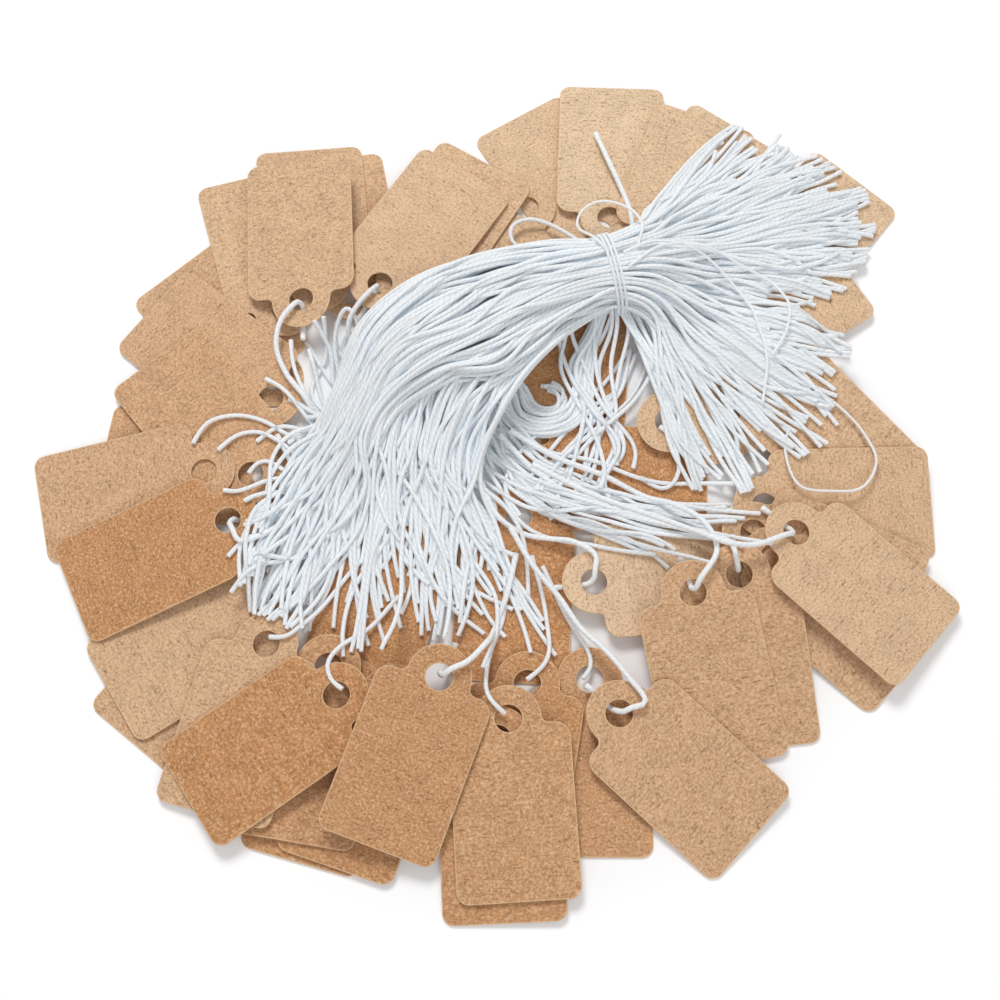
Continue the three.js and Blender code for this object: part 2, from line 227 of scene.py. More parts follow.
# where each of them comes from inside the pile of strings: x, y and height over the route's start
earStringRoots = {
    "tag_back_left_3": [[-22, 14, 1.5], [-30, 14, 1]],
    "tag_back_left_5": [[-18, 18, 2], [-24, 23, 1]],
    "tag_front_right_1": [[-4, 3, 1.5], [0, -5, 0.8]],
    "tag_left_3": [[-24, 3, 1.5], [-31, -0.5, 1]],
    "tag_front_right_3": [[0, 12, 2], [6, 5.5, 1.5], [12, 1, 1]],
    "tag_front_right_4": [[2, 13, 2], [10, 8, 1.5], [20, 4, 1]],
    "tag_right_6": [[6, 3, 1.5], [17, -3, 1.5], [28, -7, 1]],
    "tag_front_left_5": [[3, -12, 2], [1.5, -19, 1.5]],
    "tag_front_right_5": [[2, -8, 2], [6, -15, 1.5]],
}


# how a string goes under the ear and up through the hole, and how far round a place its solid is read
holeTurn = {"beyondEar": 2, "underEar": 4, "spread": 0.45, "within": 1.3}


def flatDistance(points, x, y):
    return np.hypot(points[:, 0] - x, points[:, 1] - y)


def nearestPoints(points, x, y):
    return points[np.argsort(flatDistance(points, x, y))[:6]]


def solidHeight(points, x, y, highest):
    near = points[flatDistance(points, x, y) < holeTurn["within"]]
    if not len(near):
        near = nearestPoints(points, x, y)
    radius = string["diameter"] / 2
    return near[:, 2].max() - radius if highest else near[:, 2].min() + radius


def earStringLine(tag):
    seat = seats[tag]
    points = solidPoints(tag.replace("tag", "string"))
    radius = string["diameter"] / 2
    inside = tagSize["holeRadius"] - radius
    hole, ear = seat["base"], seat["ear"]
    earEnd = tagSize["earRadius"]
    lower = [hole[:2] + ear[:2] * s for s in (earEnd + holeTurn["beyondEar"], earEnd, holeTurn["underEar"], inside)]
    lower = [[x, y, solidHeight(points, x, y, False)] for x, y in lower]
    route = onSheet(earStrings[tag])
    toward = route[-1] - hole[:2]
    toward /= np.linalg.norm(toward)
    rim = hole[:2] + toward * inside
    upper = [[x, y, solidHeight(points, x, y, True)] for x, y in np.vstack([route, rim])][::-1]
    middle = hole + seat["up"] * (tagSize["thickness"] / 2)
    turn = [
        middle + np.append(ear[:2], 0) * holeTurn["spread"] * inside - seat["up"] * radius,
        middle + np.append(toward, 0) * holeTurn["spread"] * inside + seat["up"] * radius,
    ]
    # the last part runs on into the pile of strings
    roots = [[*onSheet(p[:2]), upper[-1][2] + p[2]] for p in earStringRoots[tag][::-1]]
    line = evenPoints([*lower, *turn, *upper, *roots])
    line[:, 2] = np.maximum(line[:, 2], radius * string["clear"])
    return line


earLines = {tag: earStringLine(tag) for tag in earStrings}
print("strings through the top tags:", {t: round(lengthOf(p)) for t, p in earLines.items()})

# the hank: centre, half width and half height of its rings, from past the tie to where it spreads
hank = {
    "rings": [
        [30, 46, 8.5, 6],
        [22, 44.5, 8, 6.2],
        [12, 42, 10, 6.2],
        [2, 37, 13, 5.8],
        [-7, 30, 16, 5.2],
        [-14, 22, 17.5, 4.4],
        [-18, 13, 17, 3.4],
    ],
    "slice": 0.6,  # half of the length of solid that gives a ring its height
    "fill": (0.94, 0.92),  # share of a ring's width and height that the strings fill
    "strands": 240,
    "wander": 0.13,  # how far a string strays across the hank
    "leanFrom": 0.05,  # strings above this height in the hank sweep to the left, ring by ring
    "lean": ([2, 4, 5, 6], [0, 0.12, 0.38, 0.6]),
    # cut ends, from the far side round to the near side: share of the strings, x, y
    "cutTips": [
        [0, 48, 82], [0.06, 56, 80], [0.13, 64, 75], [0.2, 69, 71], [0.28, 74, 66.5], [0.36, 75, 58.5],
        [0.44, 73, 53], [0.51, 69, 47], [0.56, 66, 41], [0.61, 66.5, 34], [0.66, 66, 26], [0.71, 66, 18.5],
        [0.77, 61.5, 11], [0.82, 56, 8], [0.87, 51, 4], [0.91, 46.5, 2], [0.95, 42.5, 0.5], [1, 38, 1],
    ],
    # folded ends at the lower left, from the left to the near side
    "foldTips": [
        [0, -47, -6], [0.05, -46, -12], [0.1, -47.3, -16.4], [0.18, -45.7, -21.4], [0.27, -42, -24],
        [0.36, -36.6, -27], [0.45, -30, -29.4], [0.54, -25, -31], [0.63, -18, -32], [0.71, -11, -29.4],
        [0.79, -5.5, -32.2], [0.87, 0, -33], [0.92, 3.7, -29.4], [0.96, 8.2, -30.3], [1, 11, -28.4],
    ],
    "cutBunches": 11,
    "bunching": 0.95,
    # reach of the cut ends, and the share of them that has it
    "cutReach": ([1.04, 0.98, 0.92, 0.84, 0.7], [0.2, 0.3, 0.25, 0.15, 0.1]),
    "foldUpperFrom": 0.15,
    "foldReach": 1.05,
    "foldShort": (0.5, 0.75),  # how much shorter an upper or a lower folded end can be
}
# how strings run from the hank to their tips: scatter of the tips, how far ahead and towards the tip a
# run starts, how it bows and curves back, its height over the cards, and at which shares it has a point
cutFan = {
    "scatter": 0.04, "ahead": 4.5, "toTip": 0.1, "bow": 1.8, "curve": 0.9, "lift": (1.2, 1.6),
    "shares": (0.25, 0.5, 0.75, 0.9, 1),
}
foldFan = {
    "scatter": 0.15, "ahead": 3, "toTip": 0.08, "bow": 3.0, "curve": 1.5, "lift": (0.8, 1.2),
    "shares": (0.22, 0.45, 0.68, 0.86, 1),
}


def hankStations():
    points = solidPoints("hank")
    rings = hank["rings"]
    stations = []
    for k, (x, y, halfWidth, halfHeight) in enumerate(rings):
        before, after = rings[max(0, k - 1)], rings[min(len(rings) - 1, k + 1)]
        heading = np.array([after[0] - before[0], after[1] - before[1]], float)
        heading /= np.linalg.norm(heading)
        centre = onSheet([x, y])
        near = points[abs((points[:, :2] - centre) @ heading) < hank["slice"]]
        z = (near[:, 2].max() + near[:, 2].min()) / 2
        side = np.array([-heading[1], heading[0]])
        place = {"centre": centre, "z": z, "side": side, "heading": heading}
        stations.append({**place, "w": halfWidth, "h": halfHeight})
    return stations


stations = hankStations()


def tipAt(tips, share):
    tips = np.array(tips, float)
    share = np.clip(share, 0, 1)
    return onSheet([np.interp(share, tips[:, 0], tips[:, 1]), np.interp(share, tips[:, 0], tips[:, 2])])


def inHank(station, u, v):
    across = station["centre"] + station["side"] * (station["w"] * hank["fill"][0] * u)
    return [*across, station["z"] + station["h"] * hank["fill"][1] * v]


def slowNoise(count, size):
    # one value for each ring, which changes slowly along the hank
    rough = dice.normal(0, size, count + 2)
    return (rough[:-2] + rough[1:-1] + rough[2:]) / 1.7


strands = []  # each has its line, its group and how firmly it keeps its place


def addStrand(points, group, hold, share=1):
    line = evenPoints(points)
    strands.append({"line": line[: int(len(line) * share)], "group": group, "hold": hold})


def fanHeights(flat, startHeight, lift):
    # from the hank's height down to the cards, in the way that a stiff string droops
    flat = np.asarray(flat)
    run = runAlong(flat)
    share = run / run[-1]
    ground = topAt(flat[:, 0], flat[:, 1]) + string["diameter"] / 2 + lift
    return np.maximum(ground, startHeight + (ground[-1] - startHeight) * share**0.8)


def fanRun(ring, heading, tip, reach, fan, v, sway=1):
    # from the hank to a tip, bowed to one side and curved back
    root = np.array(ring[:2])
    tip = root + (tip - root) * reach
    span = tip - root
    across = np.array([-span[1], span[0]]) / np.linalg.norm(span)
    bow, curve = dice.normal(0, fan["bow"]) * sway, dice.normal(0, fan["curve"]) * sway
    start = root + heading * fan["ahead"] + span * fan["toTip"]
    flat = [start]
    for s in fan["shares"]:
        aside = bow * math.sin(math.pi * s) + curve * math.sin(math.tau * s)
        flat.append(start + (tip - start) * s + across * aside)
    heights = fanHeights(flat, ring[2], fan["lift"][0] + fan["lift"][1] * (v + 1))
    return [[*p, z] for p, z in zip(flat, heights)]


def layHankStrands():
    count = hank["strands"]
    golden = math.pi * (3 - math.sqrt(5))
    for k in range(count):
        radius = math.sqrt((k + 0.5) / count)
        u0, v0 = radius * math.cos(k * golden), radius * math.sin(k * golden)
        us = u0 + slowNoise(len(stations), hank["wander"])
        vs = v0 + slowNoise(len(stations), hank["wander"])
        if v0 > hank["leanFrom"]:
            lean = np.interp(np.arange(len(us)), *hank["lean"])
            us = us * (1 - lean) - lean
        big = np.maximum(1, np.hypot(us, vs))
        us, vs = us / big, vs / big
        body = [inHank(s, u, v) for s, u, v in zip(stations[1:], us[1:], vs[1:])]
        # cut end, beyond the tie
        share = ((us[1] + 1) / 2) ** 1.3 + dice.normal(0, cutFan["scatter"])
        bunches = math.tau * hank["cutBunches"]
        share -= hank["bunching"] * math.sin(bunches * share) / bunches
        tip = tipAt(hank["cutTips"], share)
        reaches, amounts = hank["cutReach"]
        reach = dice.choice(reaches, p=amounts)
        cutPart = fanRun(body[0], -stations[1]["heading"], tip, reach, cutFan, v0)
        # folded end, at the lower left
        upper = v0 > hank["foldUpperFrom"]
        share = (us[-1] + 1) / 2 + dice.normal(0, foldFan["scatter"]) + (-0.05 if upper else 0.08)
        share = 1 - abs(1 - abs(share))  # what would pass the last tag turns back in
        tip = tipAt(hank["foldTips"], share)
        reach = hank["foldReach"] - hank["foldShort"][0 if upper else 1] * dice.random() ** 1.2
        foldPart = fanRun(body[-1], stations[-1]["heading"], tip, reach, foldFan, v0, reach)
        addStrand([*cutPart[::-1], *body, *foldPart], "hank", 0.02)
    print("hank strings:", count)


layHankStrands()

# strings that leave the hank by themselves, as the photo shows them: x, y and height over what is below
looseStrings = [
    # two arches at the back left
    [[-22, 20, 3], [-29, 20, 2], [-32.2, 27, 1], [-32.5, 35, 1], [-30.3, 38.6, 1.5], [-27.9, 35, 1],
     [-28.4, 28, 1], [-24, 22, 2]],
    [[-20, 24, 3], [-28, 24, 2], [-31, 30, 1], [-31.2, 34.5, 1], [-29.6, 36.6, 1], [-28.6, 33, 1], [-27, 27, 1]],
    # to the tags at the back left
    [[-24, 15, 2], [-33, 17, 1], [-37.5, 22, 0.5], [-34.8, 29.5, 0.5], [-34.8, 36, 0.5]],
    [[-22, 18, 2], [-30, 20, 1], [-34.2, 25.7, 0.5], [-38.7, 33.2, 0.5]],
    [[-25, 12, 2], [-33.5, 15.3, 1], [-38.7, 22, 1], [-41, 28, 0.5], [-41.5, 32.5, 0.5]],
    # three arcs out to the left
    [[-24, 4, 2], [-30, 6, 1], [-36, 9.2, 1], [-41.3, 12.3, 1], [-46.1, 15.2, 1.5], [-51.4, 16.5, 1.5],
     [-57, 14.8, 1], [-59.4, 10.5, 0.5]],
    [[-22, -2, 2], [-29, 1, 1], [-34.9, 4.3, 1], [-38.4, 7.2, 1], [-42.6, 10.7, 1.5], [-46.9, 12.9, 1.5],
     [-51.1, 12.3, 1], [-54.4, 9, 0.5]],
    [[-26, -1, 2], [-36.3, 2.3, 1], [-40, 3.8, 1], [-43.3, 6.4, 1], [-46.3, 7, 1], [-48.3, 4.5, 0.3]],
    # to the tags at the left
    [[-24, 0, 2], [-35, 2.2, 1], [-40.5, 3.4, 1], [-45.7, 2.3, 0.5], [-49.9, -0.2, 0.3], [-52.6, 0.3, 0.3]],
    [[-26, 6, 2], [-36, 0, 1], [-43, 0.8, 0.5], [-48.5, -2, 0.3]],
    [[-22, 2, 2], [-34, -2.5, 1], [-41, -1.6, 0.5], [-46, -3.5, 0.3]],
    [[-20, 10, 3], [-30, 4, 1.5], [-36, 0.5, 1], [-40, 6, 0.5], [-43, 12, 0.3]],
    [[-22, 12, 3], [-32, 6, 1.5], [-36, 3, 1], [-39, -3, 0.5], [-44, -8, 0.3]],
    # more to the back left and the left
    [[-24, 10, 2], [-31, 15, 1.5], [-35, 20, 1], [-36.5, 26, 0.8], [-38, 31, 0.5]],
    [[-20, 16, 3], [-29, 18, 2], [-33, 24, 1.2], [-33.5, 30, 1], [-36.5, 35, 0.6]],
    [[-18, 20, 3], [-27, 22, 2], [-30, 28, 1.2], [-33, 33, 1], [-33, 38, 0.5]],
    [[-25, 7, 2], [-34, 12, 1.5], [-39, 18, 1], [-42.5, 22, 0.8], [-46, 24, 0.4]],
    [[-22, 8, 2.5], [-31, 10, 2], [-38, 13, 1.4], [-43, 14, 0.8], [-47, 11, 0.4]],
    [[-22, -6, 2], [-32, -8, 1.5], [-40, -13, 1], [-46, -15, 0.5], [-50, -20, 0.4]],
    [[-24, -2, 2], [-34, -6, 1.5], [-41, -9, 1], [-47, -9, 0.5], [-51, -13, 0.4]],
    # the bow behind the tie, and the one round an ear at the right
    [[8, 50, 3], [2, 55, 1], [2, 57.8, 1], [6.3, 59.9, 1], [11.4, 58.5, 1.5], [15.6, 55.5, 2], [20, 50, 4]],
    [[27, 4, 1], [32, 1.5, 0.5], [34.5, 5, 0.5], [34.1, 8.8, 0.5], [33.2, 12, 0.5], [31, 13.6, 0.3]],
    # curls round the ears of the front tags
    [[1, -14, 2.5], [0.5, -24, 1.5], [-2, -31, 1], [-2.6, -37.4, 1], [-1.4, -40.9, 1], [0.6, -42.6, 0.5]],
    [[6, -12, 2], [8.6, -24, 1.5], [8.4, -33, 1], [4.9, -36, 0.4]],
    [[8, -14, 2], [13, -25, 1], [16.4, -30.7, 1], [16.9, -33.6, 0.5], [15.2, -35.6, 0.3]],
    [[-19, -20, 2], [-25, -27, 1.5], [-29.6, -30.5, 1], [-31.4, -34, 1], [-30.5, -37.2, 0.8], [-28.4, -38.6, 0.5]],
    [[-20, -8, 2], [-27, -14, 1.5], [-35.7, -25.1, 1.5], [-39.7, -28.6, 1], [-42.3, -28.4, 0.5]],
]
# groups of strings side by side: how many, how far apart, how they curl and spread, and their route
groupUsual = {"curl": 1.2, "spread": (0.6, 1), "layer": 0.6, "shortest": 0.8}
stringGroups = {
    "toLeft": {
        "count": 13, "apart": 1.7, "spread": [0.9, 1, 0.85, 0.55, 0.35, 0.9],
        "route": [[-1, 34, 5], [-7, 25, 4.5], [-16, 18, 3.5], [-26, 15, 2.2], [-34, 14, 1.4], [-42, 13.5, 0.6]],
    },
    "toRight": {
        "count": 13, "apart": 1.5,
        "route": [[-6, 22, 3], [-1, 13, 2], [5, 5.5, 1.2], [15, 1, 1], [27, -3, 0.8], [41, -6, 0.6], [52, -8, 0.3]],
    },
    "toRightLow": {
        "count": 8, "apart": 1.8,
        "route": [[-4, 12, 3], [1, 4, 2], [7, -2, 1.2], [18, -5, 0.8], [30, -8, 0.5], [37, -12, 0.3]],
    },
    "underTie": {
        "count": 12, "apart": 1.5, "curl": 2.2,
        "route": [[19, 42, 6], [19, 35, 5], [17, 27, 3.5], [19, 18, 2.5], [20, 10, 2], [18, 3, 1.5], [17, -2, 1]],
    },
    "underTieRight": {
        "count": 7, "apart": 1.1, "curl": 1.0, "spread": [0.6, 0.6, 0.7, 0.8, 1],
        "route": [[24, 41, 6], [29, 31, 4], [33, 20, 2.5], [37, 11, 1.5], [42, 3, 0.5]],
    },
    "acrossTie": {
        "count": 6, "apart": 2.2, "curl": 1.6,
        "route": [[28, 30, 2], [24, 22, 1.6], [17, 15, 1.4], [10, 8, 1], [6, 1, 0.8], [9, -6, 0.5]],
    },
}


def toLeft(ahead):
    ahead = ahead / np.linalg.norm(ahead, axis=1)[:, None]
    return np.stack([-ahead[:, 1], ahead[:, 0]], -1)


def overPile(route):
    route = np.asarray(route, float)
    flat = onSheet(route[:, :2])
    heights = topAt(flat[:, 0], flat[:, 1]) + string["diameter"] / 2 + route[:, 2]
    return np.column_stack([flat, heights])


def layLooseStrings():
    for route in looseStrings:
        addStrand(overPile(route), "loose", 0.12)
    for name, group in stringGroups.items():
        # each string has another place in the row at its start than at its end, so they cross
        first = dice.permutation(group["count"]) - (group["count"] - 1) / 2
        for k in range(group["count"]):
            route = np.array(group["route"], float)
            place = np.linspace(first[k], k - (group["count"] - 1) / 2, len(route))
            across = toLeft(np.gradient(route[:, :2], axis=0))
            spread = group.get("spread", np.linspace(*groupUsual["spread"], len(route)))
            aside = place * group["apart"] * np.array(spread)
            aside = aside + slowNoise(len(route), group.get("curl", groupUsual["curl"]))
            route[:, :2] += across * aside[:, None]
            route[:, 2] += groupUsual["layer"] * (k % 4)
            keep = dice.uniform(groupUsual["shortest"], 1)
            addStrand(overPile(route), name, 0.05, keep)
    total = len(looseStrings) + sum(g["count"] for g in stringGroups.values())
    print("strings that run by themselves:", total)


layLooseStrings()

# the strings that droop out of the crook of the hank and go up again under the tie
coil = {
    "centre": [8.9, 20.5],
    "inner": 2.8,
    "outer": 8.8,
    "flat": 0.92,
    "stray": 0.6,
    "strands": 15,
    "curled": 4,  # the innermost ones turn on round
    "starts": 165,  # degrees, and where the curled ones and the others end
    "curledEnds": 430,
    "ends": 345,
    "low": 0.6,
    "high": 4.2,
}


def layCoil():
    for k in range(coil["strands"]):
        share = k / (coil["strands"] - 1)
        radius = coil["inner"] + (coil["outer"] - coil["inner"]) * share + dice.normal(0, 0.4)
        curls = k < coil["curled"]
        last = coil["curledEnds"] + dice.uniform(-30, 60) if curls else coil["ends"] + dice.uniform(-15, 15)
        angles = np.radians(np.linspace(coil["starts"] + dice.uniform(-12, 12), last, 12 if curls else 9))
        size = radius * np.linspace(1.1, 0.85 if curls else 1, len(angles))
        flat = np.stack([np.cos(angles) * size, np.sin(angles) * size * coil["flat"]], -1)
        flat += np.array(coil["centre"]) + dice.normal(0, coil["stray"], 2)
        start = [[-5 + dice.normal(0, 1), 34 + dice.normal(0, 1)], [-3 + dice.normal(0, 0.6), 28]]
        if not curls:
            flat = np.vstack([flat, [15 + 3 * share, 27 + dice.normal(0, 1)], [18 + 2 * share, 36], [22, 42]])
        flat = np.vstack([start, flat])
        rise = coil["low"] + (coil["high"] - coil["low"]) * np.abs(np.linspace(-1, 1, len(flat)))
        addStrand(overPile(np.column_stack([flat, rise + dice.uniform(0, 2)])), "coil", 0.06)


layCoil()

# the pile settles: strings push apart, bend and come to rest on the cards
settle = {
    "steps": 200,
    "contact": 0.77,  # distance between the middles of two strings that touch
    "reach": 1.2,  # pairs are looked for within this, every few steps
    "lookEvery": 5,
    "rounds": 2,
    "gravity": 0.02,
    "damping": 0.82,
    "fastest": 0.4,
    "crowding": 0.55,  # how much a point that touches many gives way less to each
    "stiffness": 0.45,
    "hankHolds": [0.02, 0.35, 0.12, 0.08, 0.06, 0.04, 0.0],  # how firmly each ring keeps its height
    "tieHolds": 0.4,
    "tieReach": 2,  # to either side of the tie
    "smoothing": 4,
    "clear": 1.05,  # as the string's own, after the smoothing
}


def nearPairs(points, owner, order, reach):
    # space is cut into cells with a number each, and a point is paired only within its cell and those beside it
    cell = np.floor(points / reach).astype(np.int64) + 512
    key = (cell[:, 0] << 24) + (cell[:, 1] << 12) + cell[:, 2]
    rank = np.argsort(key, kind="stable")
    keys = key[rank]
    first, second = [], []
    near = (-1, 0, 1)
    steps = [(dx << 24) + (dy << 12) + dz for dx in near for dy in near for dz in near]
    for step in (s for s in steps if s >= 0):
        low = np.searchsorted(keys, keys + step, "left") if step else np.arange(len(keys)) + 1
        high = np.searchsorted(keys, keys + step, "right")
        for n in range(int((high - low).max(initial=0))):
            has = low + n < high
            first.append(rank[has])
            second.append(rank[(low + n)[has]])
    a, b = np.concatenate(first), np.concatenate(second)
    far = (owner[a] != owner[b]) | (abs(order[a] - order[b]) > 4)
    a, b = a[far], b[far]
    close = ((points[a] - points[b]) ** 2).sum(1) < reach * reach
    return a[close], b[close]


def letSettle():
    fixed = [evenPoints(p) for p in earLines.values()]
    lines = [s["line"] for s in strands] + fixed
    owner = np.concatenate([np.full(len(p), k) for k, p in enumerate(lines)])
    order = np.concatenate([np.arange(len(p)) for p in lines])
    place = np.vstack(lines)
    home = place.copy()
    free = (owner < len(strands)).astype(float)
    pull = np.zeros((len(place), 3))
    for k, s in enumerate(strands):
        pull[owner == k, :2] = s["hold"]
    # the hank keeps its rounded form, and its strings can't leave the tie
    ofHank = np.isin(owner, [k for k, s in enumerate(strands) if s["group"] == "hank"])
    for station, hold in zip(stations, settle["hankHolds"]):
        near = np.linalg.norm(home[:, :2] - station["centre"], axis=1) < station["w"] + 2
        pull[near & ofHank, 2] = np.maximum(pull[near & ofHank, 2], hold)
    tie = stations[1]
    atTie = abs((home[:, :2] - tie["centre"]) @ tie["heading"]) < settle["tieReach"]
    atTie &= np.linalg.norm(home[:, :2] - tie["centre"], axis=1) < tie["w"] + 2
    pull[atTie] = settle["tieHolds"]
    link = np.flatnonzero(owner[1:] == owner[:-1])
    rest = np.linalg.norm(home[link + 1] - home[link], axis=1)
    halves = [link[order[link] % 2 == 0], link[order[link] % 2 == 1]]
    rests = [rest[order[link] % 2 == 0], rest[order[link] % 2 == 1]]
    inner = np.flatnonzero((owner[2:] == owner[1:-1]) & (owner[1:-1] == owner[:-2])) + 1
    curl = home[inner] - (home[inner - 1] + home[inner + 1]) / 2
    curl[:, 2] = 0
    last = place.copy()
    radius = string["inPile"] / 2
    for step in range(settle["steps"]):
        move = (place - last) * settle["damping"]
        move[:, 2] -= settle["gravity"]
        size = np.linalg.norm(move, axis=1)
        move *= np.minimum(1, settle["fastest"] / np.maximum(size, 1e-9))[:, None]
        last = place.copy()
        place = place + (move + (home - place) * pull) * free[:, None]
        if step % settle["lookEvery"] == 0:
            a, b = nearPairs(place, owner, order, settle["reach"])
        for _ in range(settle["rounds"]):
            gap = place[b] - place[a]
            apart = np.sqrt((gap**2).sum(1)) + 1e-9
            touch = apart < settle["contact"]
            ta, tb = a[touch], b[touch]
            push = gap[touch] * ((settle["contact"] - apart[touch]) / apart[touch] * 0.5)[:, None]
            total = np.bincount(ta, minlength=len(place)) + np.bincount(tb, minlength=len(place))
            soft = 1 / np.maximum(1, settle["crowding"] * total)
            for c in range(3):
                shove = np.bincount(tb, push[:, c], len(place)) - np.bincount(ta, push[:, c], len(place))
                place[:, c] += shove * soft * free
            for ends, lengths in zip(halves, rests):
                span = place[ends + 1] - place[ends]
                long = np.sqrt((span**2).sum(1)) + 1e-9
                fix = span * ((long - lengths) / long * 0.5)[:, None]
                place[ends] += fix * free[ends][:, None]
                place[ends + 1] -= fix * free[ends + 1][:, None]
            bend = (place[inner - 1] + place[inner + 1]) / 2 + curl - place[inner]
            place[inner] += bend * settle["stiffness"] * free[inner][:, None]
            ground = topAt(place[:, 0], place[:, 1], sweptTops) + radius * string["clear"]
            low = (place[:, 2] < ground) & (free > 0)
            place[low, 2] = ground[low]
            last[low] = last[low] * 0.5 + place[low] * 0.5
    for k, s in enumerate(strands):
        line = place[owner == k]
        for _ in range(settle["smoothing"]):
            line[1:-1] = 0.5 * line[1:-1] + 0.25 * (line[:-2] + line[2:])
        ground = topAt(line[:, 0], line[:, 1], sweptTops) + radius * settle["clear"]
        line[:, 2] = np.maximum(line[:, 2], ground)
        line[1:-1, 2] = np.maximum(line[1:-1, 2], (line[:-2, 2] + line[2:, 2]) / 2)
        s["line"] = line
    print("pile settled:", len(place), "points,", len(a), "pairs, top at", round(float(place[:, 2].max()), 1), "mm")


letSettle()


class Shade:
    # wraps a socket so that maths on it adds its nodes
    def __init__(self, tree, socket):
        self.tree, self.socket = tree, socket

    def math(self, operation, other=None):
        return self.tree.add("ShaderNodeMath", {"operation": operation}, {0: self, 1: other})

    def __add__(self, other):
        return self.math("ADD", other)

    __radd__ = __add__

    def __mul__(self, other):
        return self.math("MULTIPLY", other)

    __rmul__ = __mul__

    def __sub__(self, other):
        return self.math("SUBTRACT", other)

    def __rsub__(self, other):
        return self.tree.add("ShaderNodeMath", {"operation": "SUBTRACT"}, {0: other, 1: self})

    def range(self, low, high, toLow=0.0, toHigh=1.0):
        values = {"Value": self, "From Min": low, "From Max": high, "To Min": toLow, "To Max": toHigh}
        return self.tree.add("ShaderNodeMapRange", {"interpolation_type": "SMOOTHSTEP"}, values)


class Material:
    def __init__(self, name, **constants):
        self.data = bpy.data.materials.new(name)
        self.data.use_nodes = True
        self.nodes = self.data.node_tree.nodes
        self.surface = self.nodes["Principled BSDF"]
        for socket, value in constants.items():
            self.surface.inputs[socket.replace("_", " ")].default_value = value

    def link(self, value, socket):
        if isinstance(value, Shade):
            self.data.node_tree.links.new(value.socket, socket)
        elif value is not None:
            socket.default_value = value

    def add(self, kind, settings, values, output=0):
        node = self.nodes.new(kind)
        for name, value in settings.items():
            setattr(node, name, value)
        for name, value in values.items():
            self.link(value, node.inputs[name])
        return Shade(self, node.outputs[output])

    def attribute(self, name, output="Fac"):
        return self.add("ShaderNodeAttribute", {"attribute_name": name}, {}, output)

    def noise(self, vector, scale, detail=2.0, roughness=0.5):
        values = {"Vector": vector, "Scale": scale, "Detail": detail, "Roughness": roughness}
        return self.add("ShaderNodeTexNoise", {}, values, "Fac")

    def stretch(self, vector, turn, scale):
        return self.add("ShaderNodeMapping", {}, {"Vector": vector, "Rotation": (0, 0, turn), "Scale": scale})

    def colourMix(self, share, first, second, blend="MIX"):
        # a Mix node has sockets for each kind of data, and those of colours are the seventh and the eighth
        settings = {"data_type": "RGBA", "blend_type": blend}
        return self.add("ShaderNodeMix", settings, {0: share, 6: first, 7: second}, 2)

    def feed(self, name, value):
        self.link(value, self.surface.inputs[name])

    def bump(self, height, strength, distance):
        values = {"Height": height, "Strength": strength, "Distance": distance}
        self.feed("Normal", self.add("ShaderNodeBump", {}, values))


def rgb(red, green, blue):
    # a colour as a paint program shows it
    shares = [c / 255 for c in (red, green, blue)]
    return (*(c / 12.92 if c <= 0.04045 else ((c + 0.055) / 1.055) ** 2.4 for c in shares), 1)


kraft = {
    "dark": rgb(197, 141, 93),
    "pale": rgb(230, 201, 168),
    "fibreDark": rgb(116, 76, 46),
    "fibrePale": rgb(238, 210, 172),
    "grainPale": rgb(250, 222, 184),
    # painted highlight along the cut edge
    "paintedEdgeHighlight": rgb(232, 198, 156),
    # how strongly each of them shows
    "grainDarkShare": 0.5,
    "grainPaleShare": 0.54,
    "fibreDarkShare": 0.64,
    "fibrePaleShare": 0.28,
    "paintedEdgeHighlightShare": 0.7,
    "fibres": ((0.3, (0.9, 4.6, 1)), (1.35, (0.8, 4.2, 1)), (-0.75, (1.0, 5.0, 1))),  # turn and stretch
    "bump": 0.00012,
    "patternStep": 37.0,  # each card has its own patch of the pattern, this much further on
}


def kraftMaterial():
    card = Material("kraftCard", Roughness=0.86, Specular_IOR_Level=0.25)
    place = card.attribute("cardPlace", "Vector")  # mm on the card, and a number that differs from card to card
    toneAndLight = card.attribute("cardToneAndLight")
    # painted highlight: a paler rim along the cut edge
    rim = card.attribute("cardEdgeHighlight")
    # the card's colour from dark to pale by its tone, with painted light and painted shade in it
    ground = card.colourMix(toneAndLight, kraft["dark"], kraft["pale"])
    cloud = card.noise(place, 0.22, 3.0, 0.6).range(0.3, 0.7, 0.93, 1.06)
    grain = card.noise(place, 2.1, 4.0, 0.72)
    grey = card.add("ShaderNodeCombineXYZ", {}, {0: cloud, 1: cloud, 2: cloud})
    body = card.colourMix(1.0, ground, grey, "MULTIPLY")
    body = card.colourMix(grain.range(0.52, 0.3, 0, kraft["grainDarkShare"]), body, kraft["fibreDark"])
    body = card.colourMix(grain.range(0.48, 0.7, 0, kraft["grainPaleShare"]), body, kraft["grainPale"])
    # fibres in three directions: the noise is high along the dark ones and low along the pale ones
    fibres = [card.noise(card.stretch(place, *fibre), 0.62, 3.0, 0.6) for fibre in kraft["fibres"]]
    dark, pale = fibres[0].range(0.645, 0.69), fibres[0].range(0.365, 0.31)
    for fibre in fibres[1:]:
        dark = dark.math("MAXIMUM", fibre.range(0.645, 0.69))
        pale = pale.math("MAXIMUM", fibre.range(0.365, 0.31))
    speck = card.noise(place, 1.3, 4.0, 0.7).range(0.62, 0.68)
    body = card.colourMix(dark.math("MAXIMUM", speck) * kraft["fibreDarkShare"], body, kraft["fibreDark"])
    body = card.colourMix(pale * kraft["fibrePaleShare"], body, kraft["fibrePale"])
    # painted highlight along the cut edge
    body = card.colourMix(rim * kraft["paintedEdgeHighlightShare"], body, kraft["paintedEdgeHighlight"])
    card.feed("Base Color", body)
    height = grain * 0.5 + pale * 0.6 - dark * 0.4 + card.noise(place, 5.0, 1.0, 0.5) * 0.5
    card.bump(height, 0.35, kraft["bump"])
    return card.data


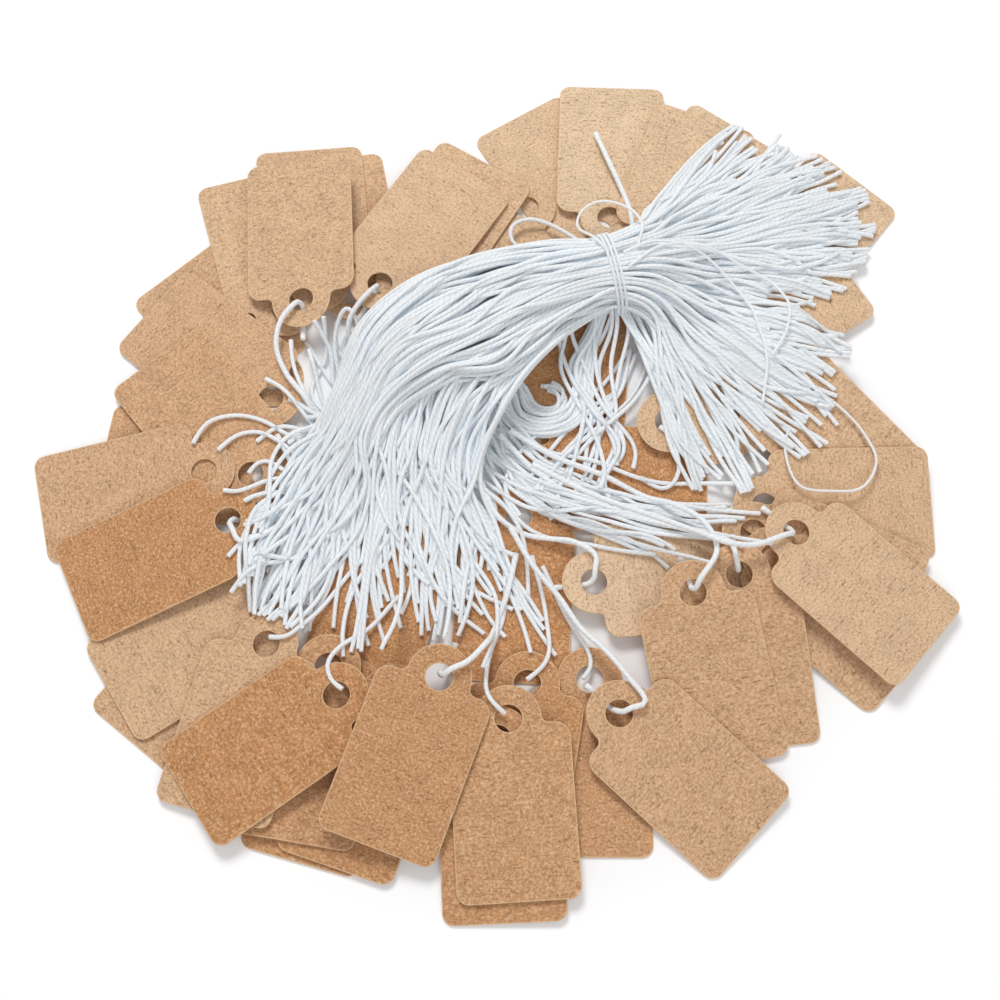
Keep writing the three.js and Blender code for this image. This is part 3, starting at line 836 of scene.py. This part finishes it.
cotton = {
    "string": {"white": rgb(250, 253, 255), "shadow": rgb(222, 233, 243), "pitch": 1.25, "depth": 0.00006},
    "thread": {"white": rgb(253, 254, 255), "shadow": rgb(232, 237, 242), "pitch": 0.7, "depth": 0.00003},
}  # pitch of the twist in mm, depth of its grooves in metres


def stringMaterial(name, white, shadow, pitch, depth):
    twist = Material(name, Roughness=0.7, Specular_IOR_Level=0.3, Subsurface_Weight=0.5, Subsurface_Scale=0.0012)
    twist.feed("Subsurface Radius", (1, 1, 1))
    # the wave holds the cosine and the sine of the place round the string, and the run along it in mm
    wave = twist.add("ShaderNodeSeparateXYZ", {}, {0: twist.attribute("stringWave", "Vector")})
    cosine, sine, run = (Shade(twist, part) for part in wave.socket.node.outputs)
    phase = run * (math.pi / pitch)
    turnSine = sine * phase.math("COSINE") + cosine * phase.math("SINE")
    turnCosine = cosine * phase.math("COSINE") - sine * phase.math("SINE")
    groove = (turnCosine * turnCosine - turnSine * turnSine).range(-1, 0.1)
    fuzz = twist.noise(twist.add("ShaderNodeTexCoord", {}, {}, "Object"), 2600, 2.0, 0.6)
    twist.feed("Base Color", twist.colourMix(groove * 0.45 + fuzz * 0.3 + 0.3, shadow, white))
    twist.bump(groove + fuzz * 0.5, 0.35, depth)
    return twist.data


kraftCard = kraftMaterial()
whiteString = stringMaterial("whiteString", **cotton["string"])
whiteThread = stringMaterial("whiteThread", **cotton["thread"])
print("materials made")


# tubes along the strings, made by one node tree
def tubeTree():
    tree = bpy.data.node_groups.new("stringTube", "GeometryNodeTree")
    for name, kind, way in (
        ("Geometry", "Geometry", "INPUT"),
        ("Diameter", "Float", "INPUT"),
        ("Sides", "Int", "INPUT"),
        ("Material", "Material", "INPUT"),
        ("Geometry", "Geometry", "OUTPUT"),
    ):
        tree.interface.new_socket(name=name, in_out=way, socket_type="NodeSocket" + kind)

    def add(kind, values=None, settings=None, output=0):
        node = tree.nodes.new(kind)
        for key, value in (settings or {}).items():
            setattr(node, key, value)
        for key, value in (values or {}).items():
            if isinstance(value, bpy.types.NodeSocket):
                tree.links.new(value, node.inputs[key])
            else:
                node.inputs[key].default_value = value
        return node.outputs[output]

    def maths(operation, *values):
        return add("ShaderNodeMath", dict(enumerate(values)), {"operation": operation})

    def read(name):
        return add("GeometryNodeInputNamedAttribute", {"Name": name}, {"data_type": "FLOAT"}, "Attribute")

    def store(geometry, name, value, kind="FLOAT"):
        values = {"Geometry": geometry, "Name": name, "Value": value}
        return add("GeometryNodeStoreNamedAttribute", values, {"data_type": kind, "domain": "POINT"})

    given = tree.nodes.new("NodeGroupInput").outputs
    curve = add("GeometryNodeMeshToCurve", {0: given["Geometry"]})
    curve = store(curve, "runLength", add("GeometryNodeSplineParameter", output="Length"))
    ring = add("GeometryNodeCurvePrimitiveCircle", {"Resolution": given["Sides"], "Radius": 1.0})
    ring = store(ring, "roundShare", add("GeometryNodeSplineParameter", output="Factor"))
    size = maths("MULTIPLY", maths("MULTIPLY", given["Diameter"], 0.5), read("thick"))
    sizes = {"Curve": curve, "Profile Curve": ring, "Scale": size, "Fill Caps": True}
    tube = add("GeometryNodeCurveToMesh", sizes)
    # for the twist's shading: the place round the string, and the run along it in mm
    angle = maths("MULTIPLY", read("roundShare"), math.tau)
    length = maths("ADD", maths("MULTIPLY", read("runLength"), 1000.0), read("lead"))
    wave = add("ShaderNodeCombineXYZ", {0: maths("COSINE", angle), 1: maths("SINE", angle), 2: length})
    tube = store(tube, "stringWave", wave, "FLOAT_VECTOR")
    for name in ("runLength", "roundShare", "thick", "lead"):
        tube = add("GeometryNodeRemoveAttribute", {"Geometry": tube, "Name": name})
    tube = add("GeometryNodeSetShadeSmooth", {"Geometry": tube})
    tube = add("GeometryNodeRealizeInstances", {"Geometry": tube})
    tube = add("GeometryNodeSetMaterial", {"Geometry": tube, "Material": given["Material"]})
    tree.links.new(tube, tree.nodes.new("NodeGroupOutput").inputs["Geometry"])
    return tree


stringTube = tubeTree()


def linkObject(name, mesh):
    item = bpy.data.objects.new(name, mesh)
    bpy.context.scene.collection.objects.link(item)
    return item


def storeOn(mesh, name, values):
    # a number or a vector for each point
    kind, key = ("FLOAT_VECTOR", "vector") if np.ndim(values) > 1 else ("FLOAT", "value")
    mesh.attributes.new(name, kind, "POINT").data.foreach_set(key, np.ravel(values))


def tubes(name, lines, diameter, material, sides, cutAtEnd=True):
    # one piece from many lines; a cut end is a little frayed, so it is thicker
    points = np.vstack(lines) * mm
    edges, thick, lead, first = [], [], [], 0
    random = np.random.default_rng(len(name) + len(lines))
    for line in lines:
        count = len(line)
        edges += [(first + k, first + k + 1) for k in range(count - 1)]
        width = np.ones(count)
        width[:2] = string["frayed"]
        if cutAtEnd:
            width[-2:] = string["frayed"]
        thick.append(width)
        lead.append(np.full(count, random.uniform(0, 5)))  # the twist starts somewhere else on each
        first += count
    rough = bpy.data.meshes.new(name + "Lines")
    rough.from_pydata(points.tolist(), edges, [])
    storeOn(rough, "thick", np.concatenate(thick))
    storeOn(rough, "lead", np.concatenate(lead))
    source = linkObject(name + "Lines", rough)
    modifier = source.modifiers.new("tube", "NODES")
    modifier.node_group = stringTube
    sockets = {s.name: s.identifier for s in stringTube.interface.items_tree if s.in_out == "INPUT"}
    for key, value in (("Diameter", diameter * mm), ("Sides", sides), ("Material", material)):
        modifier[sockets[key]] = value
    bpy.context.view_layer.update()
    made = bpy.data.meshes.new_from_object(source.evaluated_get(bpy.context.evaluated_depsgraph_get()))
    made.name = name
    bpy.data.objects.remove(source)
    return linkObject(name, made)


kinds = {
    "string": {"diameter": string["diameter"], "material": whiteString, "sides": 10},
    "thread": {"diameter": string["thread"], "material": whiteThread, "sides": 8},
}


def makeCord(name, line, kind, body="bundle", replaced=(), path=None):
    piece = tubes(name, [line], **kinds[kind])
    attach(piece, body)
    if replaced:
        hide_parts(*replaced)
    path = (line if path is None else path) * mm


nodeBody = {n: body for body, held in frame["record"]["behaviour"]["bodies"].items() for n in held}
for tag, line in earLines.items():
    node = tag.replace("tag", "string")
    makeCord(node + "_cord", line, "string", nodeBody[node], replaced=[node])

# the single end that stands out, the tie and the long loop of thread
looseEnd = [[27, 56], [26.5, 61], [25, 67], [22.5, 73], [20, 81]]
threadLoop = [
    [56, 13], [55, 11], [55, 6], [57, 1], [63, 0], [69, 1], [72, 6], [70, 12], [65, 18], [61, 21.5], [56.5, 24],
]
tie = {"turns": 2.5, "pitch": 0.8, "perTurn": 18, "clear": 0.95, "spacing": 0.6}


def onSolid(route, node, radius):
    points = solidPoints(node)
    return [[x, y, nearestPoints(points, x, y)[:, 2].max() - radius] for x, y in onSheet(route)]


def tieLine():
    station = stations[1]
    count = round(tie["perTurn"] * tie["turns"])
    angle = math.tau * np.arange(count + 1) / tie["perTurn"]
    along = (np.arange(count + 1) - count / 2) / tie["perTurn"] * tie["pitch"]
    flat = station["centre"] + np.outer(along, station["heading"])
    width, height = station["w"] * hank["fill"][0], station["h"] * hank["fill"][1]
    flat = flat + np.outer(np.cos(angle) * (width + tie["clear"]), station["side"])
    return np.column_stack([flat, station["z"] + np.sin(angle) * (height + tie["clear"])])


tieHeight = stations[1]["z"]
endRoot = [[*onSheet([24, 43]), tieHeight], [*onSheet([26.5, 50.5]), tieHeight + 1]]
endLine = evenPoints(endRoot + onSolid(looseEnd, "loose_end", string["diameter"] / 2))
loopLine = evenPoints(onSolid(threadLoop, "thread_loop", string["thread"] / 2), string["threadSpacing"])
tieTurns = evenPoints(tieLine(), tie["spacing"])
makeCord("loose_end_cord", endLine, "string", replaced=["loose_end"], path=endLine[::-1])
makeCord("thread_loop_cord", loopLine, "thread", replaced=["thread_loop"])
makeCord("hank_tie_cord", tieTurns, "thread", replaced=["hank_tie"])

# the tie's thread also runs in long bows over the cut ends and behind the tie: lowest height, then x, y
tieThreads = {
    "tie_thread_far": (
        0, [[24, 46], [30.3, 49], [38.7, 48.1], [45.8, 42.6], [49, 37.9], [50.5, 32.7], [51.7, 26.7], [50.7, 17.7]],
    ),
    "tie_thread_near": (
        0, [[25, 43], [32, 48], [40.2, 49.2], [48.6, 46.5], [54.6, 43], [56.6, 38.3], [55.6, 31.6], [52.8, 27]],
    ),
    "tie_thread_back": (
        8, [[21, 46], [18, 51], [15.4, 55.4], [16.5, 59], [19.4, 61.1], [22.4, 61.1], [26, 59], [28, 54], [27, 48]],
    ),
}


def overStrings(lowest, route):
    line = evenPoints(np.column_stack([onSheet(route), np.zeros(len(route))]), string["threadSpacing"])
    below = np.vstack([s["line"] for s in strands])
    for point in line:
        near = below[flatDistance(below, *point[:2]) < 1.1, 2]
        under = max(near.max(initial=0) + string["inPile"] / 2, float(topAt(*point[:2])))
        point[2] = max(under + string["thread"] / 2, lowest)
    # it doesn't sink into dips
    for _ in range(30):
        line[1:-1, 2] = np.maximum(line[1:-1, 2], (line[:-2, 2] + line[2:, 2]) / 2)
    return evenPoints(line, string["threadSpacing"])


for name, (lowest, route) in tieThreads.items():
    makeCord(name, overStrings(lowest, route)[::-1], "thread")


def pileOfStrings():
    hankLines = [s["line"] for s in strands if s["group"] == "hank"]
    perPiece = math.ceil(len(hankLines) / 4)
    groups = {f"hank_strings_{k + 1}": hankLines[k * perPiece : (k + 1) * perPiece] for k in range(4)}
    groups["loose_strings"] = [s["line"] for s in strands if s["group"] != "hank"]
    for name, lines in groups.items():
        ofHank = name.startswith("hank")
        piece = tubes(name, lines, string["inPile"], whiteString, 8, cutAtEnd=not ofHank)
        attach(piece, "bundle")
        if ofHank:
            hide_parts("hank", "hank_cut_ends", "hank_loops")
        print(name, len(lines), "strings,", len(piece.data.polygons), "faces")


pileOfStrings()


# the tags
def arc(x, y, radius, start, stop, steps):
    angles = np.radians(np.linspace(start, stop, steps + 1))
    return np.stack([x + radius * np.cos(angles), y + radius * np.sin(angles)], -1)


def tagOutline():
    half, shoulder = tagSize["width"] / 2, -tagSize["holeBeyondShoulder"]
    foot, fillet, ear = shoulder - tagSize["length"], tagSize["earFillet"], tagSize["earRadius"]
    filletY = shoulder + fillet
    filletX = math.sqrt((ear + fillet) ** 2 - filletY**2)
    meet = math.degrees(math.atan2(filletY, filletX))
    footCorner, corner = tagSize["footCorner"], tagSize["shoulderCorner"]
    right = np.vstack([
        arc(half - footCorner, foot + footCorner, footCorner, -90, 0, 8),
        arc(half - corner, shoulder - corner, corner, 0, 90, 9),
        arc(filletX, filletY, fillet, 270, 180 + meet, 6),
    ])
    earArc = arc(0, 0, ear, meet, 180 - meet, 40)[1:-1]
    outline = np.vstack([right, earArc, right[::-1] * [-1, 1]])
    # long edges get points between, so that the pale line follows them evenly
    full = []
    for p, q in zip(outline, np.roll(outline, -1, axis=0)):
        parts = max(1, int(np.linalg.norm(q - p) / tagSize["edgeStep"]))
        full += [p + (q - p) * k / parts for k in range(parts)]
    return np.array(full)


def inset(loop, distance):
    normal = toLeft(np.roll(loop, -1, axis=0) - loop)
    normal = normal + np.roll(normal, 1, axis=0)
    normal /= np.linalg.norm(normal, axis=1)[:, None]
    return loop + normal * distance


def flatTag():
    # points of one card, each x, y, z and how much it belongs to the cut rim, where the painted edge highlight goes;
    # and its faces
    outline = tagOutline()
    hole = arc(0, 0, tagSize["holeRadius"], 360, 0, 56)[:-1]  # the other way round, so that inset grows it
    soft, rim, thick = tagSize["edgeRound"], tagSize["highlightRimWidth"], tagSize["thickness"]
    points, faces = [], []
    topLoops = []
    for loop in (outline, hole):
        # rows from the bottom, round the soft edge, to the top: how far in, height and share of the painted edge
        # highlight at the rim
        rows = [(rim, 0, 0), (soft, 0, 1), (0.3 * soft, 0.3 * soft, 1), (0, soft, 1)]
        rows += [(0, thick - soft, 1), (0.3 * soft, thick - 0.3 * soft, 1), (soft, thick, 1), (rim, thick, 0)]
        first = len(points)
        for distance, z, amount in rows:
            points += [[x, y, z, amount] for x, y in inset(loop, distance)]
        count = len(loop)
        for r in range(len(rows) - 1):
            for k in range(count):
                a, b = first + r * count + k, first + r * count + (k + 1) % count
                faces.append((a, b, b + count, a + count))
        topLoops.append((first, first + (len(rows) - 1) * count, count))
    edge = inset(outline, rim)
    half, bare = tagSize["width"] / 2, tagSize["bare"]
    seeds = []
    for x in np.arange(1.2 - half, half, tagSize["cell"]):
        for y in np.arange(-tagSize["length"] - 1, tagSize["earRadius"], tagSize["cell"]):
            clear = np.hypot(edge[:, 0] - x, edge[:, 1] - y).min() > bare
            inBody = abs(x) < half - 1 and y < -tagSize["holeBeyondShoulder"] - 1
            fromHole = math.hypot(x, y)
            if clear and (inBody or fromHole < tagSize["earRadius"] - 1) and fromHole > tagSize["holeRadius"] + bare:
                seeds.append((x, y))
    # the flat sides are filled with triangles between the rims and the points inside
    flat, borders, owners = [], [], []
    for low, high, count in topLoops:
        begin = len(flat)
        flat += [Vector(points[low + k][:2]) for k in range(count)]
        owners += [(low + k, high + k) for k in range(count)]
        borders += [(begin + k, begin + (k + 1) % count) for k in range(count)]
    for x, y in seeds:
        flat.append(Vector((x, y)))
        owners.append((len(points), len(points) + 1))
        points += [[x, y, 0, 0], [x, y, thick, 0]]
    made, _, triangles, sources, _, _ = delaunay_2d_cdt(flat, borders, [], 0, 1e-7)
    for triangle in triangles:
        centre = sum((made[k] for k in triangle), Vector((0, 0))) / len(triangle)
        if math.hypot(*centre) < tagSize["holeRadius"] + rim * 0.6 or not insideLoop(edge, centre):
            continue
        ids = [sources[k][0] for k in triangle]
        faces.append(tuple(owners[k][1] for k in ids))
        faces.append(tuple(owners[k][0] for k in ids[::-1]))
    return np.array(points), faces


def insideLoop(loop, point):
    x, y = point
    after = np.roll(loop, -1, axis=0)
    crosses = (loop[:, 1] > y) != (after[:, 1] > y)
    with np.errstate(divide="ignore", invalid="ignore"):
        at = loop[:, 0] + (y - loop[:, 1]) / (after[:, 1] - loop[:, 1]) * (after[:, 0] - loop[:, 0])
    return np.count_nonzero(crosses & (x < at)) % 2 == 1


# how pale a card is: its own tone at random, with painted light that makes the cards paler to the back and the
# right, painted shade that makes the middle cards deep in the pile darkest, and those that stand out in the photo
toneAndLight = {
    "middle": 0.4,
    "paintedLightPerMm": (0.003, 0.0055),
    "chance": (-0.06, 0.1),
    "of": {
        # painted shade: the middle cards, deep in the pile, are darkest
        "tag_middle_1": 0, "tag_middle_2": 0, "tag_middle_3": 0, "tag_middle_4": 0,
        "tag_front_right_1": 0.88, "tag_front_right_5": 0.4, "tag_right_6": 0.7,
        "tag_left_2": 0.42, "tag_left_3": 0.02, "tag_front_3": 0.2, "tag_front_left_3": 0.16,
        "tag_low_left_1": 0.5, "tag_low_left_2": 0.55, "tag_low_left_3": 0.5,
    },
}


def toneAndLightAt(name, x, y, chance):
    perX, perY = toneAndLight["paintedLightPerMm"]
    # painted light: paler to the back and the right
    usual = toneAndLight["middle"] + perY * (y - viewpoint["aim"][1]) + perX * (x - viewpoint["aim"][0]) + chance
    return float(np.clip(toneAndLight["of"].get(name, usual), 0, 1))


def layTags():
    card, faces = flatTag()
    random = np.random.default_rng(3)
    half, middle = tagSize["width"] / 2, tagSize["middle"]
    for number, (name, seat) in enumerate(seats.items()):
        bendX, bendY = random.uniform(-1, 1, 2) * tagSize["warp"]
        x, y, z, rim = card.T
        z = z + bendX * (x / half) ** 2 + bendY * ((y + middle) / tagSize["halfLength"]) ** 2
        flat = seat["base"] + np.outer(x, seat["side"]) + np.outer(y, seat["ear"]) + np.outer(z, seat["up"])
        mesh = bpy.data.meshes.new(name + "_card")
        mesh.from_pydata((flat * mm).tolist(), [], faces)
        centre = seat["base"] - seat["ear"] * middle
        # the card's tone, with painted light and painted shade in it
        pale = toneAndLightAt(name, centre[0], centre[1], random.uniform(*toneAndLight["chance"]))
        patch = np.full(len(card), kraft["patternStep"] * number)
        storeOn(mesh, "cardPlace", np.column_stack([x, y, patch]))
        storeOn(mesh, "cardToneAndLight", np.full(len(card), pale))
        storeOn(mesh, "cardEdgeHighlight", rim)
        mesh.materials.append(kraftCard)
        mesh.update()
        piece = linkObject(name + "_card", mesh)
        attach(piece, nodeBody[name])
        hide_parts(name)
    print("tags:", len(seats), "with", len(faces), "faces each")


layTags()

# floor and light
studio = {
    "floor": 1.6,
    "paper": rgb(247, 247, 248),
    # the paper's glow: from, to (metres from the middle) and how strong it gets
    "glow": ((0.05, 0.085, 0.14), (0.2, 0.7, 0.55)),
    "world": 0.38,
    "lamps": {
        "key": {"size": 0.3, "power": 3.2, "place": (-0.12, 0.42, 0.62)},
        "fill": {"size": 0.6, "power": 1.4, "place": (0.15, -0.5, 0.5)},
    },
    "bounces": 14,
    "diffuseBounces": 10,
}


def layFloor():
    half = studio["floor"] / 2
    mesh = bpy.data.meshes.new("floor")
    mesh.from_pydata([(-half, -half, 0), (half, -half, 0), (half, half, 0), (-half, half, 0)], [], [(0, 1, 2, 3)])
    paper = Material("whitePaper", Roughness=0.9, Specular_IOR_Level=0.1)
    paper.feed("Base Color", studio["paper"])
    paper.feed("Emission Color", (1, 1, 1, 1))
    # only the camera sees the glow, so that the object gets no more light from it
    toCamera = paper.add("ShaderNodeLightPath", {}, {}, "Is Camera Ray")
    where = paper.add("ShaderNodeTexCoord", {}, {}, "Object")
    middle = (viewpoint["aim"][0] * mm, viewpoint["aim"][1] * mm, 0)
    fromMiddle = paper.add("ShaderNodeVectorMath", {"operation": "DISTANCE"}, {0: where, 1: middle}, "Value")
    near, far = (fromMiddle.range(low, high, 0, strength) for low, high, strength in studio["glow"])
    paper.feed("Emission Strength", toCamera * (near + far))
    mesh.materials.append(paper.data)
    linkObject("floor", mesh)


def buildStudio():
    layFloor()
    scene = bpy.context.scene
    scene.world = bpy.data.worlds.new("studio")
    scene.world.use_nodes = True
    tree = scene.world.node_tree
    backdrop = tree.nodes["Background"]
    backdrop.inputs["Color"].default_value = (1, 1, 1, 1)
    # the camera sees the backdrop white, and the object gets no more light from it
    strength = tree.nodes.new("ShaderNodeMapRange")
    strength.inputs["To Min"].default_value = studio["world"]
    tree.links.new(tree.nodes.new("ShaderNodeLightPath").outputs["Is Camera Ray"], strength.inputs["Value"])
    tree.links.new(strength.outputs["Result"], backdrop.inputs["Strength"])
    for name, lamp in studio["lamps"].items():
        light = bpy.data.lights.new(name, "AREA")
        light.shape, light.size, light.energy = "DISK", lamp["size"], lamp["power"]
        item = linkObject(name, light)
        item.location = lamp["place"]
        item.rotation_euler = (-Vector(lamp["place"])).to_track_quat("-Z", "Y").to_euler()
    scene.view_settings.view_transform = "Standard"
    scene.cycles.max_bounces = studio["bounces"]
    scene.cycles.diffuse_bounces = studio["diffuseBounces"]


buildStudio()
print("studio lit")
